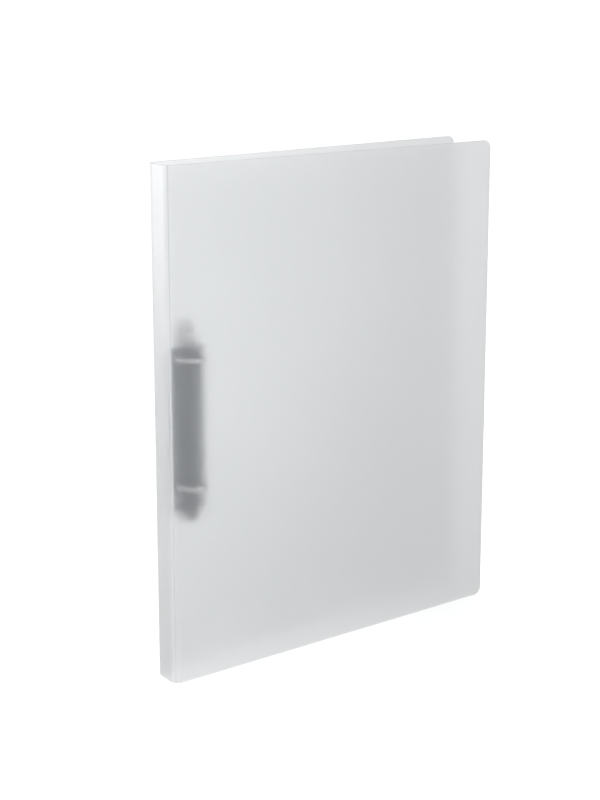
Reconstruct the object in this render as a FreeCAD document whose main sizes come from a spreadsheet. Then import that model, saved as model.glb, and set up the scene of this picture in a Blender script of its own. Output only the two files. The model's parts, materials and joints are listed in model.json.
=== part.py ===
"""Two-ring lever binder of polypropylene sheet, standing on its lower edge, rear cover slightly splayed.

+Z is up the spine, +X runs from the spine to the free edges, -Y is the front cover's outer side.
The origin is at the bottom centre of the whole object. Lengths are millimetres, angles degrees.

The ring mechanism has a frame of its own: X across it, -Y up from the rear cover's inner face, and
Z along it from its middle. "rise" below always means a height above that face.
"""

import FreeCAD, Part
import math
import os
import sys

import Sketcher
from FreeCAD import Placement, Rotation, Vector

SIZES = {
    # covers and spine
    "binder_height": 318.0,
    "cover_width": 249.0,
    "spine_width": 22.0,
    "sheet_thickness": 0.8,
    "corner_radius": 5.0,
    "fold_radius": 5.5,
    "splay_angle": 3.4,
    # place of the mechanism, measured from the spine's outer face
    "mechanism_offset": 23.0,
    # rings
    "ring_spacing": 80.0,
    "ring_radius": 7.9,
    "ring_rise": 8.4,
    "wire_diameter": 2.8,
    "ring_end_angle": 52.0,
    "tip_gap_angle": 0.4,
    "tip_peg_radius": 0.9,
    "tip_peg_length": 0.8,
    "tip_peg_draft": 0.3,
    "tip_peg_clearance": 0.15,
    # cover plate of the mechanism
    "plate_width": 21.0,
    "crown_clearance": 0.33,
    "shoulder_clearance": 1.0,
    "plate_lift": 1.4,
    "plate_gauge": 0.7,
    "lip_width": 1.5,
    "arch_length": 94.6,
    "tongue_width": 12.0,
    "plate_length": 126.0,
    "wire_slot_clearance": 0.4,
    "wire_slot_inner_margin": 1.6,
    "wire_slot_run_out": 0.3,
    "wire_slot_depth": 3.5,
    # toggling rails
    "rail_thickness": 1.0,
    "rail_tilt": 12.0,
    "rail_edge_clearance": 0.1,
    "rail_middle_gap": 0.3,
    "rail_end_clearance": 0.3,
    # release lever
    "lever_gauge": 0.8,
    "hood_length": 6.5,
    "hood_gap": 1.7,
    "cheek_lift": 1.8,
    "tab_width": 10.0,
    "tab_reach": 15.2,
    "nose_width": 5.0,
    "nose_lift": 0.2,
    "nose_clearance": 0.23,
    "nose_reach": 1.0,
    "nose_window_clearance": 0.7,
    "pin_diameter": 1.6,
    "pin_rise": 3.4,
    "pin_setback": 3.7,
    "pin_overhang": 0.5,
    "pin_clearance": 0.06,
    "ear_height": 4.6,
    "ear_length": 4.8,
    # rivets
    "rivet_spacing": 109.0,
    "rivet_shank": 4.0,
    "eyelet_clearance": 0.1,
    "rivet_head": 9.0,
    "rivet_head_height": 0.9,
    "rivet_clinch": 7.0,
    "rivet_clinch_height": 1.3,
    "rivet_dimple": 2.4,
}

# Shares and positions that several pieces read, as expressions on the sheet.
SPLAY = "sizes.splay_angle * 1 deg"
DEPTH = (
    "(sizes.spine_width - sizes.fold_radius + sizes.fold_radius * cos(SPLAY)"
    " + (sizes.cover_width - sizes.fold_radius) * sin(SPLAY))"
).replace("SPLAY", SPLAY)
FOLD_X = "(sizes.fold_radius - sizes.cover_width / 2)"
FRONT_FOLD_Y = f"(sizes.fold_radius - {DEPTH} / 2)"
REAR_FOLD_Y = f"(sizes.spine_width - sizes.fold_radius - {DEPTH} / 2)"
HALF_PLATE = "(sizes.plate_width / 2)"
HALF_ARCH = "(sizes.arch_length / 2)"
HALF_TONGUE = "(sizes.tongue_width / 2)"
PIVOT_X = (
    f"({HALF_PLATE} - sizes.plate_gauge - sizes.rail_edge_clearance"
    " - sizes.rail_thickness / 2)"
)
RAIL_WIDTH = f"({PIVOT_X} - sizes.rail_middle_gap / 2)"
RAIL_DROP = (
    f"({RAIL_WIDTH} * sin(sizes.rail_tilt * 1 deg)"
    " + sizes.rail_thickness / 2 * cos(sizes.rail_tilt * 1 deg))"
)
PIVOT_RISE = (
    f"(sizes.nose_lift + sizes.lever_gauge + sizes.nose_clearance + {RAIL_DROP})"
)
CROWN = f"({PIVOT_RISE} + {RAIL_DROP} + sizes.crown_clearance + sizes.plate_gauge)"
SHOULDER = f"({PIVOT_RISE} + sizes.shoulder_clearance)"
RAIL_LENGTH = (
    "(sizes.arch_length - 2 * sizes.plate_gauge - 2 * sizes.rail_end_clearance)"
)
ARCH_SAG = f"({CROWN} - {SHOULDER})"
ARCH_RADIUS = f"(({HALF_PLATE} ^ 2 + {ARCH_SAG} ^ 2) / (2 * {ARCH_SAG}))"
PIN_Z = f"(-{HALF_ARCH} - sizes.pin_setback)"
HOOD_TOP = f"(-{HALF_ARCH} - sizes.hood_gap)"
NOSE_TIP = f"(sizes.nose_reach - {RAIL_LENGTH} / 2)"
HALF_ROUND = "half round"

doc = FreeCAD.newDocument("ring_binder")
sheet = doc.addObject("Spreadsheet::Sheet", "sizes")
for row, (alias, number) in enumerate(SIZES.items(), start=1):
    sheet.set(f"A{row}", alias)
    sheet.set(f"B{row}", str(number))
    sheet.setAlias(f"B{row}", alias)
doc.recompute()

sub_parts = []


def value(expression):
    """The number that an expression on the sheet gives now."""
    result = sheet.evalExpression(expression)
    return getattr(result, "Value", result)


def bind(thing, **expressions):
    """Ties properties to the sheet. Two underscores in a name stand for a dot."""
    for name, expression in expressions.items():
        thing.setExpression(name.replace("__", "."), str(expression))


def place(thing, x, y, z="0", angle=None):
    """Puts an object at x, y, z, turned about Z by an angle in degrees."""
    thing.Placement = Placement(Vector(), Rotation(Vector(0, 0, 1), 1.0))
    bind(thing, Placement__Base__x=x, Placement__Base__y=y, Placement__Base__z=z)
    bind(thing, Placement__Rotation__Angle=angle or "0 deg")


def place_on_rear_cover(thing, along, outward, height="0"):
    """Puts an object in the splayed frame whose origin is the rear fold's centre."""
    x = f"{FOLD_X} + ({along}) * cos({SPLAY}) - ({outward}) * sin({SPLAY})"
    y = f"{REAR_FOLD_Y} + ({along}) * sin({SPLAY}) + ({outward}) * cos({SPLAY})"
    place(thing, x, y, height, SPLAY)


def place_in_mechanism(thing):
    """Puts an object made in the mechanism's frame onto the rear cover's inner face."""
    place_on_rear_cover(
        thing,
        "sizes.mechanism_offset - sizes.fold_radius",
        "sizes.fold_radius - sizes.sheet_thickness",
        "sizes.binder_height / 2",
    )


def new_body(name):
    body = doc.addObject("PartDesign::Body", name)
    body.Label = name
    sub_parts.append(body)
    return body


def plane_of(body, role):
    return next(f for f in body.Origin.OriginFeatures if f.Role == role)


def outline(body, role, corners, holes=(), offset="0", more=()):
    """A fully constrained sketch on one of the body's own planes.

    corners are (x, y) or (x, y, radius, turn) in expressions. The second form joins that corner to
    the next with an arc, anticlockwise for turn 1 and clockwise for turn -1. A radius of HALF_ROUND
    makes a semicircle. more holds further closed outlines, and holes are circles (x, y, radius).
    """
    sketch = body.newObject("Sketcher::SketchObject", f"{body.Name}_outline")
    sketch.AttachmentSupport = [(plane_of(body, role), "")]
    sketch.MapMode = "FlatFace"
    bind(sketch, AttachmentOffset__Base__z=offset)
    for loop in (corners, *more):
        draw_loop(sketch, loop)
    for x, y, radius in holes:
        centre = Vector(value(x), value(y), 0)
        circle = sketch.addGeometry(
            Part.Circle(centre, Vector(0, 0, 1), value(radius))
        )
        pin_point(sketch, circle, 3, x, y)
        constrain(sketch, radius, "Radius", circle)
    return sketch


def constrain(sketch, expression, kind, *where):
    index = sketch.addConstraint(Sketcher.Constraint(kind, *where, value(expression)))
    sketch.setExpression(f"Constraints[{index}]", expression)


def pin_point(sketch, geometry, position, x, y):
    """Fixes a point of the sketch by its two distances from the origin."""
    constrain(sketch, x, "DistanceX", -1, 1, geometry, position)
    constrain(sketch, y, "DistanceY", -1, 1, geometry, position)


def draw_loop(sketch, corners):
    points = [Vector(value(c[0]), value(c[1]), 0) for c in corners]
    ends = []
    for k, corner in enumerate(corners):
        start, end = points[k], points[(k + 1) % len(points)]
        if len(corner) == 2:
            line = sketch.addGeometry(Part.LineSegment(start, end))
            ends.append((line, 1, 2))
            continue
        chord, turn = end - start, corner[3]
        half_round = corner[2] == HALF_ROUND
        radius = chord.Length / 2 if half_round else value(corner[2])
        rise = math.sqrt(max(radius**2 - chord.Length**2 / 4, 0))
        side = Vector(-chord.y, chord.x, 0).normalize() * turn
        centre = (start + end) / 2 + side * rise
        first, last = (start, end) if turn > 0 else (end, start)
        angles = [math.atan2(p.y - centre.y, p.x - centre.x) for p in (first, last)]
        if angles[1] <= angles[0]:
            angles[1] += 2 * math.pi
        circle = Part.Circle(centre, Vector(0, 0, 1), radius)
        arc = sketch.addGeometry(Part.ArcOfCircle(circle, *angles))
        ends.append((arc, 1, 2) if turn > 0 else (arc, 2, 1))
    for k, (geometry, start, _) in enumerate(ends):
        before, _, before_end = ends[k - 1]
        sketch.addConstraint(
            Sketcher.Constraint("Coincident", before, before_end, geometry, start)
        )
        pin_point(sketch, geometry, start, corners[k][0], corners[k][1])
    for k, (corner, (geometry, _, _)) in enumerate(zip(corners, ends)):
        if len(corner) == 2:
            continue
        level = abs(points[k].y - points[(k + 1) % len(points)].y) < 1e-9
        if corner[2] != HALF_ROUND:
            constrain(sketch, corner[2], "Radius", geometry)
        elif level:
            constrain(sketch, corner[1], "DistanceY", -1, 1, geometry, 3)
        else:
            constrain(sketch, corner[0], "DistanceX", -1, 1, geometry, 3)


def rectangle(x_low, x_high, y_low, y_high):
    return [(x_low, y_low), (x_high, y_low), (x_high, y_high), (x_low, y_high)]


def feature(body, kind, sketch, **expressions):
    """Adds a sketch-based feature and makes it the tip."""
    added = body.newObject(f"PartDesign::{kind}", f"{body.Name}_{kind.lower()}")
    added.Profile = sketch
    bind(added, **expressions)
    body.Tip = added
    doc.recompute()
    return added


def pad(body, sketch, length):
    return feature(body, "Pad", sketch, Length=length)


def pocket(body, sketch, depth, against_normal=True):
    """Cuts by depth, and stops the build if nothing was cut."""
    before = body.Shape.Volume
    cut = feature(body, "Pocket", sketch, Length=depth)
    cut.Reversed = not against_normal
    doc.recompute()
    if body.Shape.Volume > before - 0.01:
        sys.exit(f"{cut.Label} cuts nothing")
    return cut


def mirrored(body, originals, role):
    """Repeats features on the other side of one of the body's own planes."""
    mirror = body.newObject("PartDesign::Mirrored", f"{body.Name}_mirrored")
    mirror.Originals = originals
    mirror.MirrorPlane = (plane_of(body, role), [""])
    body.Tip = mirror
    doc.recompute()
    return mirror


# ---------------------------------------------------------------- covers, folds and spine


def cover(name, holes=()):
    """A flat panel from the fold to the free edge. Its outer side is at -Y when it isn't turned."""
    body = new_body(name)
    panel = rectangle(
        "0", "sizes.cover_width - sizes.fold_radius", "0", "sizes.binder_height"
    )
    panel_pad = pad(
        body, outline(body, "XZ_Plane", panel, holes), "sizes.sheet_thickness"
    )
    free_edge = value("sizes.cover_width - sizes.fold_radius")
    corners = [
        f"Edge{k}"
        for k, edge in enumerate(body.Shape.Edges, start=1)
        if all(abs(v.X - free_edge) < 1e-6 for v in edge.Vertexes)
        and abs(edge.Length - value("sizes.sheet_thickness")) < 1e-6
    ]
    rounding = body.newObject("PartDesign::Fillet", f"{name}_corners")
    rounding.Base = (panel_pad, corners)
    bind(rounding, Radius="sizes.corner_radius")
    body.Tip = rounding
    return body


def fold(name, start_angle, end_angle):
    """The bent strip between a panel and the spine, about the bend's own centre."""
    body = new_body(name)
    inner = "(sizes.fold_radius - sizes.sheet_thickness)"
    outer = "sizes.fold_radius"
    section = [
        (f"{outer} * cos({start_angle})", f"{outer} * sin({start_angle})", outer, 1),
        (f"{outer} * cos({end_angle})", f"{outer} * sin({end_angle})"),
        (f"{inner} * cos({end_angle})", f"{inner} * sin({end_angle})", inner, -1),
        (f"{inner} * cos({start_angle})", f"{inner} * sin({start_angle})"),
    ]
    pad(body, outline(body, "XY_Plane", section), "sizes.binder_height")
    return body


def covers_and_spine():
    front = cover("front_cover")
    place(front, FOLD_X, f"sizes.sheet_thickness - {DEPTH} / 2")

    eyelets = [
        (
            "sizes.mechanism_offset - sizes.fold_radius",
            f"sizes.binder_height / 2 {sign} sizes.rivet_spacing / 2",
            "sizes.rivet_shank / 2 + sizes.eyelet_clearance",
        )
        for sign in "+-"
    ]
    place_on_rear_cover(cover("rear_cover", eyelets), "0", "sizes.fold_radius")

    place(fold("front_fold", "180 deg", "270 deg"), FOLD_X, FRONT_FOLD_Y)
    place(fold("rear_fold", f"90 deg + {SPLAY}", "180 deg"), FOLD_X, REAR_FOLD_Y)

    spine = new_body("spine_panel")
    section = rectangle(
        "0",
        "sizes.sheet_thickness",
        "sizes.fold_radius",
        "sizes.spine_width - sizes.fold_radius",
    )
    pad(spine, outline(spine, "XY_Plane", section), "sizes.binder_height")
    place(spine, "-sizes.cover_width / 2", f"-{DEPTH} / 2")


# ---------------------------------------------------------------- cover plate


def arch_section(gauge, foot, lip="0"):
    """The arched section of bent sheet, open below. foot is its lowest rise, lip the hem's width."""
    inner_half = f"({HALF_PLATE} - {gauge})"
    inner_radius = f"({ARCH_RADIUS} - {gauge})"
    inner_shoulder = (
        f"({CROWN} - {ARCH_RADIUS} + sqrt({inner_radius} ^ 2 - {inner_half} ^ 2))"
    )
    section = [
        (HALF_PLATE, f"-({foot})"),
        (HALF_PLATE, f"-{SHOULDER}", ARCH_RADIUS, -1),
        (f"-{HALF_PLATE}", f"-{SHOULDER}"),
        (f"-{HALF_PLATE}", f"-({foot})"),
    ]
    inner = [
        (f"-{inner_half}", f"-{inner_shoulder}", inner_radius, 1),
        (inner_half, f"-{inner_shoulder}"),
    ]
    if lip == "0":
        return section + [
            (f"-{inner_half}", f"-({foot})"),
            *inner,
            (inner_half, f"-({foot})"),
        ]
    tip = f"({HALF_PLATE} - {lip})"
    hem_top = f"-({foot} + {gauge})"
    return section + [
        (f"-{tip}", f"-({foot})"),
        (f"-{tip}", hem_top),
        (f"-{inner_half}", hem_top),
        *inner,
        (inner_half, hem_top),
        (tip, hem_top),
        (tip, f"-({foot})"),
    ]


def ring_plate():
    plate = new_body("ring_plate")
    gauge = "sizes.plate_gauge"
    section = arch_section(gauge, "sizes.plate_lift", "sizes.lip_width")
    arch_sketch = outline(plate, "XY_Plane", section, offset=f"-{HALF_ARCH}")
    pad(plate, arch_sketch, "sizes.arch_length")

    wall = [
        (HALF_TONGUE, "0"),
        (HALF_TONGUE, "-sizes.plate_lift"),
        (HALF_PLATE, "-sizes.plate_lift"),
        (HALF_PLATE, f"-{SHOULDER}", ARCH_RADIUS, -1),
        (f"-{HALF_PLATE}", f"-{SHOULDER}"),
        (f"-{HALF_PLATE}", "-sizes.plate_lift"),
        (f"-{HALF_TONGUE}", "-sizes.plate_lift"),
        (f"-{HALF_TONGUE}", "0"),
    ]
    wall_sketch = outline(plate, "XY_Plane", wall, offset=f"{HALF_ARCH} - {gauge}")
    end_wall = pad(plate, wall_sketch, gauge)

    round_start = f"(sizes.plate_length / 2 - {HALF_TONGUE})"
    tongue = [
        (f"-{HALF_TONGUE}", f"{HALF_ARCH} - {gauge}"),
        (HALF_TONGUE, f"{HALF_ARCH} - {gauge}"),
        (HALF_TONGUE, round_start, HALF_ROUND, 1),
        (f"-{HALF_TONGUE}", round_start),
    ]
    eyelet = (
        "0",
        "sizes.rivet_spacing / 2",
        "sizes.rivet_shank / 2 + sizes.eyelet_clearance",
    )
    tongue_pad = pad(plate, outline(plate, "XZ_Plane", tongue, [eyelet]), gauge)

    half_wire = "sizes.wire_diameter / 2"
    low = f"(sizes.ring_spacing / 2 - {half_wire} - sizes.wire_slot_clearance)"
    high = f"(sizes.ring_spacing / 2 + {half_wire} + sizes.wire_slot_clearance)"
    near = f"(sizes.ring_radius - {half_wire} - sizes.wire_slot_inner_margin)"
    # The slots run out through the plate's side, where the open rings lean.
    far = f"({HALF_PLATE} + sizes.wire_slot_run_out)"
    slots = [
        rectangle(near, far, low, high),
        rectangle(f"-{far}", f"-{near}", low, high),
    ]
    slot_sketch = outline(
        plate, "XZ_Plane", slots[0], offset=CROWN, more=slots[1:]
    )
    slot_pocket = pocket(plate, slot_sketch, "sizes.wire_slot_depth")
    mirrored(plate, [end_wall, tongue_pad, slot_pocket], "XY_Plane")

    # The lever's nose comes through a window in the lower end wall and tongue.
    half_window = "(sizes.nose_width / 2 + sizes.nose_window_clearance)"
    window = rectangle(
        f"-{half_window}",
        half_window,
        f"{HOOD_TOP} - sizes.lever_gauge - sizes.nose_window_clearance",
        f"{gauge} - {HALF_ARCH}",
    )
    window_sketch = outline(plate, "XZ_Plane", window)
    pocket(plate, window_sketch, SHOULDER, against_normal=False)

    ear_low = f"({PIN_Z} - sizes.ear_length / 2)"
    ear_high = f"({PIN_Z} + sizes.ear_length / 2)"
    inner = f"({HALF_TONGUE} - {gauge})"
    ears = [
        rectangle(inner, HALF_TONGUE, ear_low, ear_high),
        rectangle(f"-{HALF_TONGUE}", f"-{inner}", ear_low, ear_high),
    ]
    ear_sketch = outline(plate, "XZ_Plane", ears[0], more=ears[1:])
    pad(plate, ear_sketch, "sizes.ear_height")
    bore_across(plate, "sizes.pin_diameter / 2", "sizes.tongue_width")
    place_in_mechanism(plate)


def bore_across(body, radius, length):
    """Bores the lever pin's hole through a body, from side to side."""
    hole = outline(body, "YZ_Plane", [], [("-sizes.pin_rise", PIN_Z, radius)])
    before = body.Shape.Volume
    bore = feature(body, "Pocket", hole, Length=length)
    bore.Midplane = True
    doc.recompute()
    if body.Shape.Volume > before - 0.01:
        sys.exit(f"{bore.Label} cuts nothing")


# ---------------------------------------------------------------- release lever and its pin


def release_lever():
    lever = new_body("release_lever")
    gauge = "sizes.lever_gauge"
    hood_low = f"({HOOD_TOP} - sizes.hood_length)"
    hood_sketch = outline(
        lever, "XY_Plane", arch_section(gauge, "sizes.cheek_lift"), offset=hood_low
    )
    pad(lever, hood_sketch, "sizes.hood_length")

    half_tab = "(sizes.tab_width / 2)"
    tab_round = f"(-{HALF_ARCH} - sizes.tab_reach + {half_tab})"
    tab = [
        (f"-{half_tab}", tab_round, HALF_ROUND, 1),
        (half_tab, tab_round),
        (half_tab, f"{hood_low} + 2 * {gauge}"),
        (f"-{half_tab}", f"{hood_low} + 2 * {gauge}"),
    ]
    tab_sketch = outline(
        lever, "XZ_Plane", tab, offset=f"{CROWN} - 1.5 * {gauge}"
    )
    pad(lever, tab_sketch, gauge)

    half_nose = "(sizes.nose_width / 2)"
    web = rectangle(f"-{half_nose}", half_nose, f"{HOOD_TOP} - {gauge}", HOOD_TOP)
    web_sketch = outline(lever, "XZ_Plane", web, offset="sizes.nose_lift")
    pad(lever, web_sketch, f"{CROWN} - sizes.nose_lift - {gauge}")

    nose = rectangle(f"-{half_nose}", half_nose, f"{HOOD_TOP} - {gauge}", NOSE_TIP)
    nose_sketch = outline(lever, "XZ_Plane", nose, offset="sizes.nose_lift")
    pad(lever, nose_sketch, gauge)
    bore_across(
        lever, "sizes.pin_diameter / 2 + sizes.pin_clearance", "2 * sizes.plate_width"
    )
    place_in_mechanism(lever)


def lever_pin():
    pin = new_body("lever_pin")
    shank = outline(
        pin,
        "YZ_Plane",
        [],
        [("-sizes.pin_rise", PIN_Z, "sizes.pin_diameter / 2")],
    )
    across = pad(pin, shank, "sizes.plate_width + 2 * sizes.pin_overhang")
    across.Midplane = True
    place_in_mechanism(pin)


# ---------------------------------------------------------------- rivets


def rivet(name, sign):
    """A tubular rivet: domed head outside the rear cover, clinched over the tongue inside."""
    body = new_body(name)
    head = "(sizes.rivet_head / 2)"
    shank = "(sizes.rivet_shank / 2)"
    clinch = "(sizes.rivet_clinch / 2)"
    head_top = "(sizes.sheet_thickness + sizes.rivet_head_height)"
    clinch_top = "(sizes.plate_gauge + sizes.rivet_clinch_height)"
    dimple = "(sizes.rivet_dimple / 2)"
    rim = "(sizes.rivet_head_height / 3)"
    dome_sag = f"(sizes.rivet_head_height - {rim})"
    roll = "(sizes.rivet_clinch_height / 2)"
    section = [
        ("0", f"-{clinch_top} + {dimple}"),
        (dimple, f"-{clinch_top}"),
        (f"{clinch} - {roll}", f"-{clinch_top}", HALF_ROUND, 1),
        (f"{clinch} - {roll}", "-sizes.plate_gauge"),
        (shank, "-sizes.plate_gauge"),
        (shank, "sizes.sheet_thickness"),
        (head, "sizes.sheet_thickness"),
        (
            head,
            f"sizes.sheet_thickness + {rim}",
            f"({head} ^ 2 + {dome_sag} ^ 2) / (2 * {dome_sag})",
            1,
        ),
        ("0", head_top),
    ]
    turned = feature(body, "Revolution", outline(body, "XY_Plane", section))
    turned.ReferenceAxis = (turned.Profile[0], ["V_Axis"])
    turned.Angle = 360.0
    place_on_rear_cover(
        body,
        "sizes.mechanism_offset - sizes.fold_radius",
        "sizes.fold_radius - sizes.sheet_thickness",
        f"sizes.binder_height / 2 {sign} sizes.rivet_spacing / 2",
    )


# ---------------------------------------------------------------- rings and rails


def solid(kind, name, **expressions):
    """A Part primitive bound to the sheet."""
    thing = doc.addObject(f"Part::{kind}", name)
    bind(thing, **expressions)
    return thing


def boolean(kind, name, base, tool):
    thing = doc.addObject(f"Part::{kind}", name)
    thing.Base = base
    thing.Tool = tool
    return thing


def along_x(thing, x, y, z):
    """Lays a primitive whose axis is Z along +X."""
    thing.Placement = Placement(Vector(), Rotation(Vector(0, 1, 0), 90))
    bind(thing, Placement__Base__x=x, Placement__Base__y=y, Placement__Base__z=z)


def ring_halves(level, sign):
    """Both halves of one ring as bent wire. The spine-side tip has a peg, the free-side tip its socket."""
    height = f"{sign} sizes.ring_spacing / 2"
    sweep = "90 deg + (sizes.ring_end_angle - sizes.tip_gap_angle) * 1 deg"
    starts = {
        "spine": "180 deg - sizes.ring_end_angle * 1 deg",
        "free": "sizes.tip_gap_angle * 1 deg - 90 deg",
    }
    wires = {}
    for side, start in starts.items():
        wire = solid(
            "Torus",
            f"{level}_{side}_wire",
            Radius1="sizes.ring_radius",
            Radius2="sizes.wire_diameter / 2",
            Angle3=sweep,
        )
        place(wire, "0", "-sizes.ring_rise", height, start)
        wires[side] = wire

    tip = "-sizes.ring_rise - sizes.ring_radius"
    back = "sizes.tip_peg_length"
    for side, extra in (("spine", "0"), ("free", "sizes.tip_peg_clearance")):
        cone = solid(
            "Cone",
            f"{level}_{side}_tip",
            Radius1=f"sizes.tip_peg_radius + sizes.tip_peg_draft + {extra}",
            Radius2=f"sizes.tip_peg_radius - sizes.tip_peg_draft + {extra}",
            Height=f"2 * {back} + {extra}",
        )
        along_x(cone, f"-{back}", tip, height)
        kind = "Fuse" if side == "spine" else "Cut"
        half = boolean(kind, f"{level}_ring_{side}_half", wires[side], cone)
        half.Label = half.Name
        place_in_mechanism(half)
        sub_parts.append(half)
    return wires


def rail(side, wires):
    """A flat rail with a rounded outer edge, which is its pivot, and holes that fit the ring wires."""
    name = f"{side}_side_rail"
    blade = solid(
        "Box",
        f"{name}_blade",
        Length=RAIL_WIDTH,
        Width="sizes.rail_thickness",
        Height=RAIL_LENGTH,
    )
    reach = f"-{RAIL_WIDTH}" if side == "free" else "0"
    place(blade, reach, "-sizes.rail_thickness / 2", f"-{RAIL_LENGTH} / 2")
    edge = solid(
        "Cylinder",
        f"{name}_edge",
        Radius="sizes.rail_thickness / 2",
        Height=RAIL_LENGTH,
    )
    place(edge, "0", "0", f"-{RAIL_LENGTH} / 2")
    whole = boolean("Fuse", f"{name}_plain", blade, edge)
    if side == "free":
        place(whole, PIVOT_X, f"-{PIVOT_RISE}", "0", "-sizes.rail_tilt * 1 deg")
    else:
        place(
            whole,
            f"-{PIVOT_X}",
            f"-{PIVOT_RISE}",
            "0",
            "sizes.rail_tilt * 1 deg",
        )
    for level, wire in wires.items():
        whole = boolean("Cut", f"{name}_{level}_hole", whole, wire[side])
    whole.Label = name
    place_in_mechanism(whole)
    sub_parts.append(whole)


def mechanism():
    ring_plate()
    release_lever()
    lever_pin()
    rivet("upper_rivet", "+")
    rivet("lower_rivet", "-")
    wires = {
        "upper": ring_halves("upper", "+"),
        "lower": ring_halves("lower", "-"),
    }
    for side in ("spine", "free"):
        rail(side, wires)


def check_and_write():
    """Stops on any failed object or bad shape, then writes one file for each sub-part."""
    doc.recompute()
    for thing in doc.Objects:
        if {"Invalid", "Error"} & set(thing.State):
            sys.exit(f"{thing.Label} failed: {thing.State}")
    for part in sub_parts:
        if part.Shape.isNull() or not part.Shape.isValid():
            sys.exit(f"{part.Label} has no valid shape")
    os.makedirs("parts", exist_ok=True)
    for part in sub_parts:
        part.Shape.exportStep(os.path.join("parts", f"{part.Label}.step"))
        box = part.Shape.BoundBox
        print(f"{part.Label:24s} {part.Shape.Volume:10.1f} mm3  {len(part.Shape.Solids)} solid  {box}")


covers_and_spine()
mechanism()
check_and_write()
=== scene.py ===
"""Looks of the two-ring binder: frosted polypropylene sheet round a nickelled ring mechanism.

Everything is in metres, in the CAD frame: +Z up the spine, +X towards the free edges, -Y out of the
front cover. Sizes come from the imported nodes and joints.
"""

import json
import math

import bpy
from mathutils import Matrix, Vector


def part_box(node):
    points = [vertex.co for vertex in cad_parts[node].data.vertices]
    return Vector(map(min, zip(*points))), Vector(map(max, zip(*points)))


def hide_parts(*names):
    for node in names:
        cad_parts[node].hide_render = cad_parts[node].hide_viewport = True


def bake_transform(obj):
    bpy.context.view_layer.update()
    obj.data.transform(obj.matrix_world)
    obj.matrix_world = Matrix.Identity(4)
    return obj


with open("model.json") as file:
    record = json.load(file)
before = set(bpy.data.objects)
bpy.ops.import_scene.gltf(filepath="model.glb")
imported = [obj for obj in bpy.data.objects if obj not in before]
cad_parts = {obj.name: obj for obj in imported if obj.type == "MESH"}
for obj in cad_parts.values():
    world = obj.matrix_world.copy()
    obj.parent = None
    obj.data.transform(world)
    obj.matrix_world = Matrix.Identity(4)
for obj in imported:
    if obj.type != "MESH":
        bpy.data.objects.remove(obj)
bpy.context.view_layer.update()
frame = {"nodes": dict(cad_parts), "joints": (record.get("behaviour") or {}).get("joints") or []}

MM = 0.001
nodes = frame["nodes"]
joints = {joint["name"]: joint for joint in frame["joints"]}


def lowest(node):
    """The low corner of a node's box."""
    return Vector(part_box(node)[0])


def highest(node):
    """The high corner of a node's box."""
    return Vector(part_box(node)[1])


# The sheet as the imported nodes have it.
SHEET = highest("spine_panel").x - lowest("spine_panel").x
FOLD_RADIUS = highest("front_fold").x - lowest("front_fold").x
HEIGHT = highest("front_cover").z
SPINE_X = lowest("spine_panel").x
FREE_X = highest("front_cover").x
FRONT_Y = lowest("front_cover").y
SPINE_LOW_Y = lowest("spine_panel").y
SPINE_HIGH_Y = highest("spine_panel").y
LEVER_AXIS = joints["lever_swing"]["axis"]
SPLAY = math.atan2(LEVER_AXIS[1], LEVER_AXIS[0])

# Its finer shape: rounded corners, softened edges, rivet holes and the scored line.
CORNER_RADIUS = 5.0 * MM
EDGE_BEVEL = 0.14 * MM
RIVET_HOLE_RADIUS = 2.1 * MM
CREASE_WIDTH = 0.9 * MM
CREASE_DEPTH = 0.08 * MM

# How finely its mesh is divided.
CORNER_STEP_DEGREES = 9
PANEL_STEPS = 36
FOLD_STEPS = 32
SPINE_STEPS = 8
ROWS = 40
END_ROW = 1.5 * MM
HOLE_GRID = [-3.0 * MM, -1.5 * MM, 0.0, 1.5 * MM, 3.0 * MM]
HOLE_CLEARANCE = 1.5 * HOLE_GRID[-1]
SHARP_ANGLE = math.radians(28)

OUTSIDE, INSIDE = 1, -1


# ---------------------------------------------------------------- sheet geometry


def spread(start, end, count):
    """count values from start towards end, without end."""
    return [start + (end - start) * k / count for k in range(count)]


def nearest(values, wanted):
    """The index of the value nearest to the one wanted."""
    return min(range(len(values)), key=lambda k: abs(values[k] - wanted))


def with_holes(steps, centres):
    """Steps with a finer grid over each hole's centre, in place of those near it."""
    kept = [v for v in steps if all(abs(v - c) > HOLE_CLEARANCE for c in centres)]
    return sorted(kept + [c + d for c in centres for d in HOLE_GRID])


def free_edge_steps(length):
    """Distances along a panel from its free edge, close together over the rounded corner."""
    angles = [math.radians(degrees) for degrees in range(0, 90, CORNER_STEP_DEGREES)]
    quarter = [CORNER_RADIUS * (1 - math.cos(angle)) for angle in angles]
    return quarter + spread(CORNER_RADIUS, length, PANEL_STEPS)


def panel_profile(edge, direction, length, outward, holes=()):
    """(point, outward normal, distance from the free edge) down a flat panel towards its fold."""
    steps = with_holes(free_edge_steps(length), sorted({along for along, z in holes}))
    return [(edge + direction * d, outward, d) for d in steps]


def fold_profile(centre, start_angle, end_angle, travelled):
    """The same round a fold's middle surface. travelled is the distance already covered."""
    radius = FOLD_RADIUS - SHEET / 2
    profile = []
    for angle in spread(start_angle, end_angle, FOLD_STEPS):
        out = Vector((math.cos(angle), math.sin(angle), 0))
        along = travelled + radius * abs(angle - start_angle)
        profile.append((centre + out * radius, out, along))
    return profile


def height_limits(distance):
    """Lowest and highest Z of the sheet at a distance from the free edge."""
    gap = CORNER_RADIUS - distance
    trim = CORNER_RADIUS - math.sqrt(CORNER_RADIUS**2 - gap**2) if gap > 0 else 0.0
    return trim, HEIGHT - trim


def height_shares(hole_heights):
    """Shares of the sheet's height at which the mesh has its rows."""
    middle = with_holes(spread(END_ROW, HEIGHT - END_ROW, ROWS), hole_heights)
    return [v / HEIGHT for v in [EDGE_BEVEL, *middle]] + [1 - EDGE_BEVEL / HEIGHT]


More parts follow.
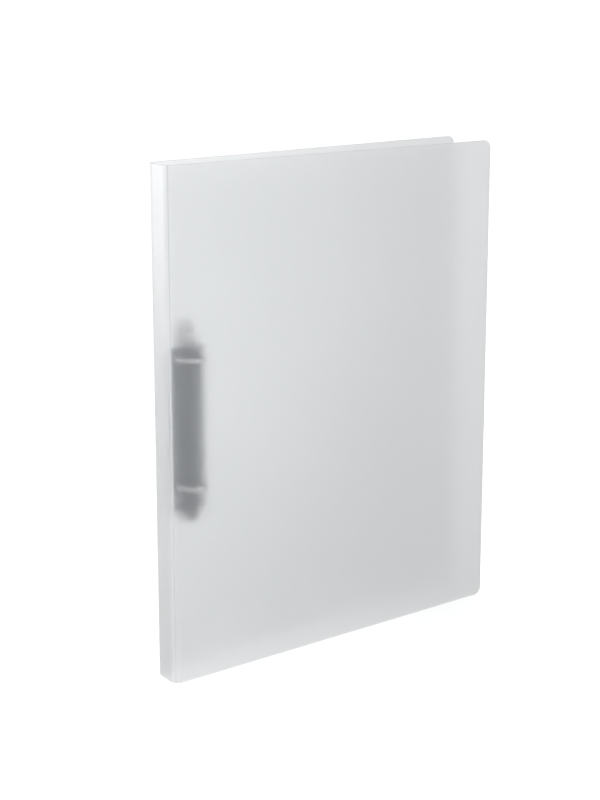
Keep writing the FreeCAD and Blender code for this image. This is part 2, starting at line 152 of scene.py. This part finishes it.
def round_patch(steps, rows):
    """(step, row) of each grid point on the border of a patch, once round."""
    border = [(step, rows.start) for step in steps]
    border += [(steps.stop, row) for row in rows]
    border += [(step, rows.stop) for step in range(steps.stop, steps.start, -1)]
    border += [(steps.start, row) for row in range(rows.stop, rows.start, -1)]
    return border


class SheetMesh:
    """A closed thin sheet over a profile, open only where it runs on into the next sheet.

    The mesh's UV map "sheet" holds metres along the profile and up. Its attribute "crease" is 1 on
    the scored line and falls to 0 beside it. Each hole is (distance from the free edge, Z).
    """

    def __init__(self, profile, crease_at, holes=()):
        self.profile = profile
        self.crease_at = crease_at
        self.holes = holes
        self.shares = height_shares(sorted({z for along, z in holes}))
        self.distances = [along for base, out, along in profile]
        self.heights = [share * HEIGHT for share in self.shares]
        self.verts, self.uvs, self.creases, self.faces = [], [], [], []

    def add(self, point, z, along, crease=0.0):
        """Adds a point over (x, y) at a height, and gives its number."""
        self.verts.append((point.x, point.y, z))
        self.uvs.append((along, z))
        self.creases.append(crease)
        return len(self.verts) - 1

    def ahead(self, step):
        """The way from one profile step to the next."""
        return (self.profile[step + 1][0] - self.profile[step][0]).normalized()

    def crease_of(self, along):
        """1 on the scored line, 0 from half its width away."""
        near = max(0.0, 1 - abs(along - self.crease_at) / (CREASE_WIDTH / 2))
        return near * near * (3 - 2 * near)

    def depth(self, along, side):
        """Distance of a side's surface from the sheet's middle. The score is cut from outside."""
        score = CREASE_DEPTH * self.crease_of(along) if side == OUTSIDE else 0.0
        return SHEET / 2 - score

    def column(self, step, side):
        """Points up the sheet at one profile step, on one side of it."""
        base, out, along = self.profile[step]
        low, high = height_limits(along)
        point = base + out * side * self.depth(along, side)
        if step == 0:
            point += self.ahead(step) * EDGE_BEVEL
        crease = self.crease_of(along)
        heights = [low + (high - low) * share for share in self.shares]
        return [self.add(point, z, along, crease) for z in heights]

    def rim_point(self, step, row, side):
        """The point on the sheet's cut edge that goes with a grid point on its border."""
        base, out, along = self.profile[step]
        low, high = height_limits(along)
        share = self.shares[row]
        if row == 0:
            share = 0.0
        if row == len(self.shares) - 1:
            share = 1.0
        point = base + out * side * (self.depth(along, side) - EDGE_BEVEL)
        return self.add(point, low + (high - low) * share, along)

    def patch(self, along, z):
        """The steps and rows of the grid that a hole's surroundings take up."""
        reach = HOLE_GRID[-1]
        first, last = (nearest(self.distances, along + d) for d in (-reach, reach))
        low, high = (nearest(self.heights, z + d) for d in (-reach, reach))
        return range(first, last), range(low, high)

    def hole_edge(self, border, along, z, side):
        """A ring of points on a hole's edge, one towards each point of the patch's border."""
        centre_step = nearest(self.distances, along)
        centre, out = self.profile[centre_step][:2]
        ring = []
        for step, row in border:
            way = Vector((self.distances[step] - along, self.heights[row] - z)).normalized()
            way *= RIVET_HOLE_RADIUS
            point = centre + out * side * SHEET / 2 + self.ahead(centre_step) * way.x
            ring.append(self.add(point, z + way.y, along + way.x))
        return ring

    def join(self, lines, closed):
        """Quads between each line of points and the next."""
        for first, second in zip(lines, lines[1:]):
            for k in range(len(first) if closed else len(first) - 1):
                after = (k + 1) % len(first)
                self.faces.append((first[k], first[after], second[after], second[k]))

    def skin(self, columns, side, patches):
        """Quads over one side of the sheet, except in the holes' patches."""
        for step, (here, after) in enumerate(zip(columns, columns[1:])):
            for row in range(len(self.shares) - 1):
                if any(step in steps and row in rows for steps, rows in patches):
                    continue
                quad = (here[row], after[row], after[row + 1], here[row + 1])
                self.faces.append(quad if side == OUTSIDE else quad[::-1])

    def build(self, name):
        """Makes the sheet as an object in the scene."""
        steps = range(len(self.profile))
        outer = [self.column(step, OUTSIDE) for step in steps]
        inner = [self.column(step, INSIDE) for step in steps]
        patches = [self.patch(along, z) for along, z in self.holes]
        self.skin(outer, OUTSIDE, patches)
        self.skin(inner, INSIDE, patches)

        for (along, z), patch in zip(self.holes, patches):
            border = round_patch(*patch)
            lines = [
                [outer[step][row] for step, row in border],
                self.hole_edge(border, along, z, OUTSIDE),
                self.hole_edge(border, along, z, INSIDE),
                [inner[step][row] for step, row in border],
            ]
            self.join(lines, closed=True)

        top = len(self.shares) - 1
        border = [(step, 0) for step in reversed(steps[1:])]
        border += [(0, row) for row in range(top + 1)]
        border += [(step, top) for step in steps[1:]]
        lines = [
            [outer[step][row] for step, row in border],
            [self.rim_point(step, row, OUTSIDE) for step, row in border],
            [self.rim_point(step, row, INSIDE) for step, row in border],
            [inner[step][row] for step, row in border],
        ]
        self.join(lines, closed=False)
        return self.make_object(name)

    def make_object(self, name):
        """The object, without the grid points that the holes took away."""
        used = sorted({corner for face in self.faces for corner in face})
        number = {old: new for new, old in enumerate(used)}
        corners = [[number[corner] for corner in face] for face in self.faces]
        mesh = bpy.data.meshes.new(name)
        mesh.from_pydata([self.verts[k] for k in used], [], corners)
        layer = mesh.uv_layers.new(name="sheet")
        for loop in mesh.loops:
            layer.data[loop.index].uv = self.uvs[used[loop.vertex_index]]
        attribute = mesh.attributes.new("crease", "FLOAT", "POINT")
        attribute.data.foreach_set("value", [self.creases[k] for k in used])
        mesh.validate()
        mesh.shade_smooth()
        mesh.set_sharp_from_angle(angle=SHARP_ANGLE)
        thing = bpy.data.objects.new(name, mesh)
        bpy.context.scene.collection.objects.link(thing)
        return thing


def along_splay(x, y):
    """A direction given in the rear cover's own frame, turned by the splay."""
    c, s = math.cos(SPLAY), math.sin(SPLAY)
    return Vector((x * c - y * s, x * s + y * c, 0))


SPINE_MIDDLE_X = SPINE_X + SHEET / 2
TO_SPINE = Vector((-1, 0, 0))
front_centre = Vector((SPINE_X + FOLD_RADIUS, FRONT_Y + FOLD_RADIUS, 0))
rear_centre = Vector((SPINE_X + FOLD_RADIUS, SPINE_HIGH_Y, 0))
panel_length = FREE_X - front_centre.x
mid_radius = FOLD_RADIUS - SHEET / 2


def front_sheet():
    """Front cover, front fold and spine in one run, up to where the rear fold begins."""
    edge = Vector((FREE_X, FRONT_Y + SHEET / 2, 0))
    cover = panel_profile(edge, TO_SPINE, panel_length, outward=Vector((0, -1, 0)))
    fold = fold_profile(front_centre, 1.5 * math.pi, math.pi, panel_length)
    bend_length = mid_radius * math.pi / 2
    spine_length = SPINE_HIGH_Y - SPINE_LOW_Y
    spine = []
    for d in [*spread(0, spine_length, SPINE_STEPS), spine_length]:
        point = Vector((SPINE_MIDDLE_X, SPINE_LOW_Y + d, 0))
        spine.append((point, TO_SPINE, panel_length + bend_length + d))
    crease_at = panel_length + bend_length / 2
    thing = SheetMesh(cover + fold + spine, crease_at).build("front_cover_and_spine")
    # This profile goes round the other way than the rear one, so its faces are turned outward.
    thing.data.flip_normals()
    return thing


def rear_sheet():
    """Rear cover with its two rivet holes and rear fold, ending at the spine."""
    edge = rear_centre + along_splay(panel_length, mid_radius)
    inward = along_splay(-1, 0)
    rivets = [(lowest(name) + highest(name)) / 2 for name in ("lower_rivet", "upper_rivet")]
    rivets_along = (rivets[0] - edge).dot(inward)
    holes = [(rivets_along, rivet.z) for rivet in rivets]
    cover = panel_profile(edge, inward, panel_length, along_splay(0, 1), holes)
    start = math.pi / 2 + SPLAY
    fold = fold_profile(rear_centre, start, math.pi, panel_length)
    bend_length = mid_radius * (math.pi - start)
    point = Vector((SPINE_MIDDLE_X, SPINE_HIGH_Y, 0))
    end = (point, TO_SPINE, panel_length + bend_length)
    crease_at = panel_length + bend_length / 2
    return SheetMesh([*cover, *fold, end], crease_at, holes).build("rear_cover_sheet")


# ---------------------------------------------------------------- materials

# Places of the factor and colour sockets on a Mix node.
MIX_FACTOR, MIX_FIRST, MIX_SECOND, MIX_RESULT = 0, 6, 7, 2

SHEET_TONES = (0.972, 0.98, 0.984), (0.985, 0.992, 0.995)
SCORED_TONE = (0.74, 0.75, 0.76)
SHEET_CLEARNESS = 0.94
SCORE_CLOUDING = 0.85
# Pale tone for the plate's flat ends beyond the arch: a painted reflection of light, not a
# different plating.
PAINTED_REFLECTION_TONE = (0.88, 0.885, 0.90)
DARK_SPOT_SHARE = 0.82
FLOOR_TONES = (0.93, 0.93, 0.93), (0.95, 0.95, 0.95)


class Nodes:
    """A short way to add nodes to a material."""

    def __init__(self, name):
        self.material = bpy.data.materials.new(name)
        self.material.use_nodes = True
        self.tree = self.material.node_tree
        self.shader = self.tree.nodes["Principled BSDF"]

    def add(self, kind, inputs=None, **settings):
        node = self.tree.nodes.new(kind)
        for key, item in settings.items():
            setattr(node, key, item)
        for key, item in (inputs or {}).items():
            self.put(node.inputs[key], item)
        return node

    def put(self, socket, item):
        """Links a socket into this one, or sets this one's value. A colour may have three parts."""
        if isinstance(item, bpy.types.NodeSocket):
            self.tree.links.new(item, socket)
        elif socket.type == "RGBA" and len(item) == 3:
            socket.default_value = (*item, 1)
        else:
            socket.default_value = item

    def noise(self, vector, scale, detail=2.0, roughness=0.5):
        return self.add(
            "ShaderNodeTexNoise",
            {"Vector": vector, "Scale": scale, "Detail": detail, "Roughness": roughness},
        ).outputs["Fac"]

    def span(self, value, low, high, low_in=0.0, high_in=1.0):
        """The value, carried from the range it has to a new one, and held there."""
        return self.add(
            "ShaderNodeMapRange",
            {
                "Value": value,
                "From Min": low_in,
                "From Max": high_in,
                "To Min": low,
                "To Max": high,
            },
        ).outputs["Result"]

    def colours(self, factor, first, second):
        mix = self.add("ShaderNodeMix", data_type="RGBA")
        self.put(mix.inputs[MIX_FACTOR], factor)
        self.put(mix.inputs[MIX_FIRST], first)
        self.put(mix.inputs[MIX_SECOND], second)
        return mix.outputs[MIX_RESULT]

    def calculate(self, operation, first, second=0.0):
        node = self.add("ShaderNodeMath", operation=operation)
        self.put(node.inputs[0], first)
        self.put(node.inputs[1], second)
        return node.outputs[0]

    def bump(self, height, distance, strength, normal=None):
        inputs = {"Height": height, "Distance": distance, "Strength": strength}
        node = self.add("ShaderNodeBump", inputs)
        if normal:
            self.put(node.inputs["Normal"], normal)
        return node.outputs["Normal"]

    def set(self, **values):
        """Sets the shader's inputs, named with _ for each space."""
        for key, item in values.items():
            self.put(self.shader.inputs[key.replace("_", " ")], item)


def frosted_sheet():
    """Translucent polypropylene with a fine sand grain, clouded where it is scored."""
    m = Nodes("frosted_polypropylene")
    place = m.add("ShaderNodeUVMap", uv_map="sheet").outputs["UV"]
    crease = m.add("ShaderNodeAttribute", attribute_name="crease").outputs["Fac"]
    grain = m.noise(place, scale=1500, detail=3.0, roughness=0.6)
    emboss = m.noise(place, scale=420)
    cloud = m.noise(place, scale=14)
    wave = m.noise(place, scale=9, detail=1.0)
    tone = m.colours(m.span(cloud, 0, 1, 0.3, 0.7), *SHEET_TONES)
    clouding = m.calculate("MULTIPLY", crease, SCORE_CLOUDING)
    relief = m.bump(wave, distance=0.4 * MM, strength=0.3)
    relief = m.bump(emboss, distance=0.08 * MM, strength=0.3, normal=relief)
    relief = m.bump(grain, distance=0.03 * MM, strength=0.5, normal=relief)
    m.set(
        Base_Color=m.colours(crease, tone, SCORED_TONE),
        Roughness=m.calculate("ADD", m.span(grain, -0.05, 0.05), m.span(cloud, 0.39, 0.43)),
        Transmission_Weight=m.calculate("SUBTRACT", SHEET_CLEARNESS, clouding),
        IOR=1.45,
        Normal=relief,
    )
    return m.material


def steel(name, colour, roughness, brush_axis, arch_heights=None):
    """Plated steel with fine draw marks along one axis and slight tone changes.

    arch_heights gives two heights: beyond them the tone turns pale, a painted reflection of light,
    and the plating is more matt.
    """
    m = Nodes(name)
    place = m.add("ShaderNodeTexCoord").outputs["Object"]
    stretch = [2600.0, 2600.0, 2600.0]
    stretch[brush_axis] = 60.0
    brushed = m.add("ShaderNodeMapping", {"Vector": place, "Scale": stretch}).outputs[0]
    lines = m.noise(brushed, scale=1.0)
    spots = m.noise(place, scale=220, detail=3.0)
    darker = [c * DARK_SPOT_SHARE for c in colour]
    tone = m.colours(m.span(spots, 0, 1, 0.35, 0.65), darker, colour)
    base = m.span(spots, roughness, roughness + 0.06)
    if arch_heights:
        low, high = arch_heights
        height = m.add("ShaderNodeSeparateXYZ", {"Vector": place}).outputs["Z"]
        above_middle = m.calculate("SUBTRACT", height, (low + high) / 2)
        away = m.calculate("ABSOLUTE", above_middle)
        reach = (high - low) / 2
        # Beyond the arch heights the colour is painted pale: a painted reflection of the light on
        # the flat ends.
        painted_reflection_share = m.span(away, 0, 1, reach - 0.5 * MM, reach + 0.5 * MM)
        tone = m.colours(painted_reflection_share, tone, PAINTED_REFLECTION_TONE)
        base = m.calculate("ADD", base, m.span(painted_reflection_share, 0, 0.25))
    m.set(
        Base_Color=tone,
        Metallic=1.0,
        Roughness=m.calculate("ADD", m.span(lines, -0.05, 0.05), base),
        Normal=m.bump(lines, distance=0.02 * MM, strength=0.35),
    )
    return m.material


def studio_floor():
    """Pale matt paper that glows a little, so that it comes out white."""
    m = Nodes("pale_floor")
    place = m.add("ShaderNodeTexCoord").outputs["Object"]
    m.set(
        Base_Color=m.colours(m.noise(place, scale=3.0), *FLOOR_TONES),
        Roughness=0.9,
        Specular_IOR_Level=0.1,
        Emission_Color=(1, 1, 1, 1),
        Emission_Strength=0.59,
    )
    return m.material


# ---------------------------------------------------------------- pieces

sheet_material = frosted_sheet()
front = front_sheet()
rear = rear_sheet()
for piece, replaced in (
    (front, ("front_cover", "front_fold", "spine_panel")),
    (rear, ("rear_cover", "rear_fold")),
):
    piece.data.materials.append(sheet_material)
    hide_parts(*replaced)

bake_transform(front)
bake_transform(rear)

UP, ACROSS = 2, 0
ARCH_HEIGHTS = (lowest("spine_side_rail").z - MM, highest("spine_side_rail").z + MM)
# The plate's ends beyond the arch carry a painted reflection: a pale tone in place of the light
# they reflect.
plate_steel = steel("dark_nickel_plate_painted_pale_ends", (0.17, 0.19, 0.225), 0.30, UP, ARCH_HEIGHTS)
rail_steel = steel("nickel_rail", (0.26, 0.28, 0.32), 0.32, UP)
ring_wire = steel("bright_nickel_wire", (0.96, 0.965, 0.975), 0.2, UP)
rivet_steel = steel("bright_nickel_rivet", (0.93, 0.935, 0.95), 0.24, ACROSS)
lever_steel = steel("dark_nickel_lever", (0.18, 0.20, 0.235), 0.28, ACROSS)

# The material of each metal node and the width of its edge rounding in millimetres.
FINISHES = {
    "ring_plate": (plate_steel, 0.15),
    "release_lever": (lever_steel, 0.2),
    "lever_pin": (rivet_steel, 0.2),
    "spine_side_rail": (rail_steel, 0.15),
    "free_side_rail": (rail_steel, 0.15),
    "upper_rivet": (rivet_steel, 0.12),
    "lower_rivet": (rivet_steel, 0.12),
    "upper_ring_spine_half": (ring_wire, 0.15),
    "upper_ring_free_half": (ring_wire, 0.15),
    "lower_ring_spine_half": (ring_wire, 0.15),
    "lower_ring_free_half": (ring_wire, 0.15),
}
ROUNDED_ANGLE = math.radians(40)
for name, (material, bevel_mm) in FINISHES.items():
    thing = nodes[name]
    thing.data.materials.clear()
    thing.data.materials.append(material)
    rounding = thing.modifiers.new("edge_rounding", "BEVEL")
    rounding.width = bevel_mm * MM
    rounding.segments = 2
    rounding.limit_method = "ANGLE"
    rounding.angle_limit = ROUNDED_ANGLE
    rounding.harden_normals = True


# ---------------------------------------------------------------- floor, light and camera

FLOOR_REACH = 90.0
BRIGHTEST_WAY = Vector((0.04, 0.995, 0.06)).normalized()
FALL_OFF_COSINE = 0.5
DIM_LEVEL = 0.44
BRIGHT_LEVEL = 1.25
SPOT_RADIUS = 0.12
SPOT_ANGLE = math.radians(16)

CAMERA_PLACE = (-0.5796, -0.7825, 0.4228)
CAMERA_YAW = math.radians(35.69)
CAMERA_PITCH = math.radians(11.22)
CAMERA_LENS = 70.2
CAMERA_SHIFT = -0.14
CAMERA_FAR_END = 200


def square_floor():
    """The floor that the binder stands on. Light seen through the sheet doesn't come from it."""
    low, high = -FLOOR_REACH, FLOOR_REACH
    mesh = bpy.data.meshes.new("studio_floor")
    corners = [(low, low, 0), (high, low, 0), (high, high, 0), (low, high, 0)]
    mesh.from_pydata(corners, [], [(0, 1, 2, 3)])
    mesh.materials.append(studio_floor())
    thing = bpy.data.objects.new("studio_floor", mesh)
    thing.visible_transmission = False
    bpy.context.scene.collection.objects.link(thing)
    return thing


def studio_light():
    """White surroundings, brightest straight behind the binder, falling off smoothly."""
    world = bpy.data.worlds.new("soft_studio")
    world.use_nodes = True
    tree = world.node_tree
    place = tree.nodes.new("ShaderNodeTexCoord")
    toward = tree.nodes.new("ShaderNodeVectorMath")
    toward.operation = "DOT_PRODUCT"
    toward.inputs[1].default_value = BRIGHTEST_WAY
    level = tree.nodes.new("ShaderNodeMapRange")
    level.interpolation_type = "SMOOTHSTEP"
    level.inputs["From Min"].default_value = FALL_OFF_COSINE
    level.inputs["From Max"].default_value = 1.0
    level.inputs["To Min"].default_value = DIM_LEVEL
    level.inputs["To Max"].default_value = BRIGHT_LEVEL
    background = tree.nodes["Background"]
    background.inputs["Color"].default_value = (0.985, 0.995, 1, 1)
    tree.links.new(place.outputs["Generated"], toward.inputs[0])
    tree.links.new(toward.outputs["Value"], level.inputs["Value"])
    tree.links.new(level.outputs["Result"], background.inputs["Strength"])
    return world


def aimed(lamp, place, target):
    """Puts a lamp in the scene, pointing at a target."""
    thing = bpy.data.objects.new(lamp.name, lamp)
    thing.location = place
    way = Vector(target) - Vector(place)
    thing.rotation_euler = way.to_track_quat("-Z", "Y").to_euler()
    bpy.context.scene.collection.objects.link(thing)


def softbox(name, place, target, size, power):
    """A rectangular area lamp."""
    lamp = bpy.data.lights.new(name, "AREA")
    lamp.shape = "RECTANGLE"
    lamp.size, lamp.size_y = size
    lamp.energy = power
    aimed(lamp, place, target)


def snoot(name, place, target, power):
    """A narrow soft spot that fades from its middle to its rim."""
    lamp = bpy.data.lights.new(name, "SPOT")
    lamp.energy = power
    lamp.shadow_soft_size = SPOT_RADIUS
    lamp.spot_size = SPOT_ANGLE
    lamp.spot_blend = 1.0
    aimed(lamp, place, target)


floor = square_floor()
bpy.context.scene.world = studio_light()

MIDDLE = (0, 0, HEIGHT / 2)
SPINE_TOP = (SPINE_X, 0, HEIGHT)
MECHANISM = (-0.1, 0, 0.16)
softbox("key", (-0.5, 0.48, 0.3), SPINE_TOP, size=(0.15, 0.3), power=1.5)
softbox("fill", (-0.8, -1.2, 0.3), MIDDLE, size=(0.6, 0.6), power=1.5)
snoot("spark", (0.25, -0.75, 0.75), MECHANISM, power=50)

camera_data = bpy.data.cameras.new("camera")
camera_data.lens = CAMERA_LENS
camera_data.shift_y = CAMERA_SHIFT
camera_data.clip_end = CAMERA_FAR_END
camera = bpy.data.objects.new("camera", camera_data)
camera.location = CAMERA_PLACE
camera.rotation_euler = (math.pi / 2 - CAMERA_PITCH, 0, -CAMERA_YAW)
bpy.context.scene.collection.objects.link(camera)
bpy.context.scene.camera = camera
bpy.context.scene.view_settings.view_transform = "Standard"
bpy.context.scene.view_settings.look = "None"
